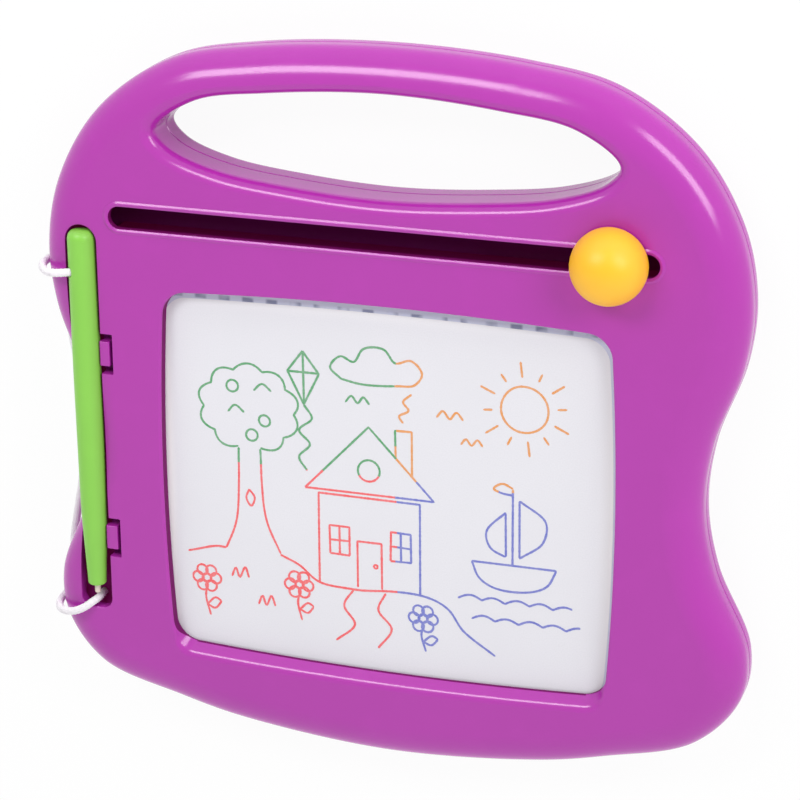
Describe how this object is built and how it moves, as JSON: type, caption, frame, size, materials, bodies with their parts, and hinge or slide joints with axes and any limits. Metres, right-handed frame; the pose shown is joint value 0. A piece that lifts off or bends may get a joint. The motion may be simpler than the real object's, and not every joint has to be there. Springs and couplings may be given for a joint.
{
  "type": "magnetic drawing board",
  "caption": "Flat toy drawing board with a carry handle, recessed screen, sliding eraser knob in a slot and a magnetic pen on a cord.",
  "frame": {"origin": "centre of the board's outline on the flat back that it lies on", "axes": "+Z out of the screen, +Y towards the carry handle, +X towards the user's right"},
  "size_m": [0.2628, 0.263, 0.042],
  "materials": {
    "shell_purple": "glossy moulded plastic",
    "screw_steel": "zinc-plated steel",
    "gasket_foam": "soft closed-cell foam",
    "screen_film": "satin plastic film over pale fluid",
    "screen_cells": "thin moulded cell sheet",
    "knob_yellow": "satin moulded plastic",
    "bar_plastic": "natural moulded plastic",
    "magnet_rubber": "flexible rubber magnet",
    "pen_green": "satin moulded plastic",
    "pen_tip": "coated magnet",
    "cord_white": "braided cord"
  },
  "bodies": {
    "board": {"front_shell": "shell_purple", "back_shell": "shell_purple", "shell_screw_1": "screw_steel", "shell_screw_2": "screw_steel", "shell_screw_3": "screw_steel", "shell_screw_4": "screw_steel", "shell_screw_5": "screw_steel", "shell_screw_6": "screw_steel", "shell_screw_7": "screw_steel", "screen_gasket": "gasket_foam", "screen_face_film": "screen_film", "screen_honeycomb": "screen_cells", "screen_back_film": "screen_film", "tether_cord": "cord_white", "tether_anchor_knot": "cord_white"},
    "eraser": {"eraser_knob": "knob_yellow", "eraser_bar": "bar_plastic", "eraser_magnet_strip": "magnet_rubber", "eraser_screw": "screw_steel", "eraser_screw_washer": "screw_steel"},
    "pen": {"pen_barrel": "pen_green", "pen_end_cap": "pen_green", "pen_tip_magnet": "pen_tip", "tether_cord_pen_end": "cord_white", "tether_pen_knot": "cord_white"}
  },
  "joints": [
    {"name": "eraser_slide", "type": "slide", "parent": "board", "child": "eraser", "axis": [1, 0, 0], "range_m": [-0.176, 0.0125]},
    {"name": "pen_lift", "type": "slide", "parent": "board", "child": "pen", "axis": [0, 0, 1], "range_m": [0, 0.06]}
  ]
}
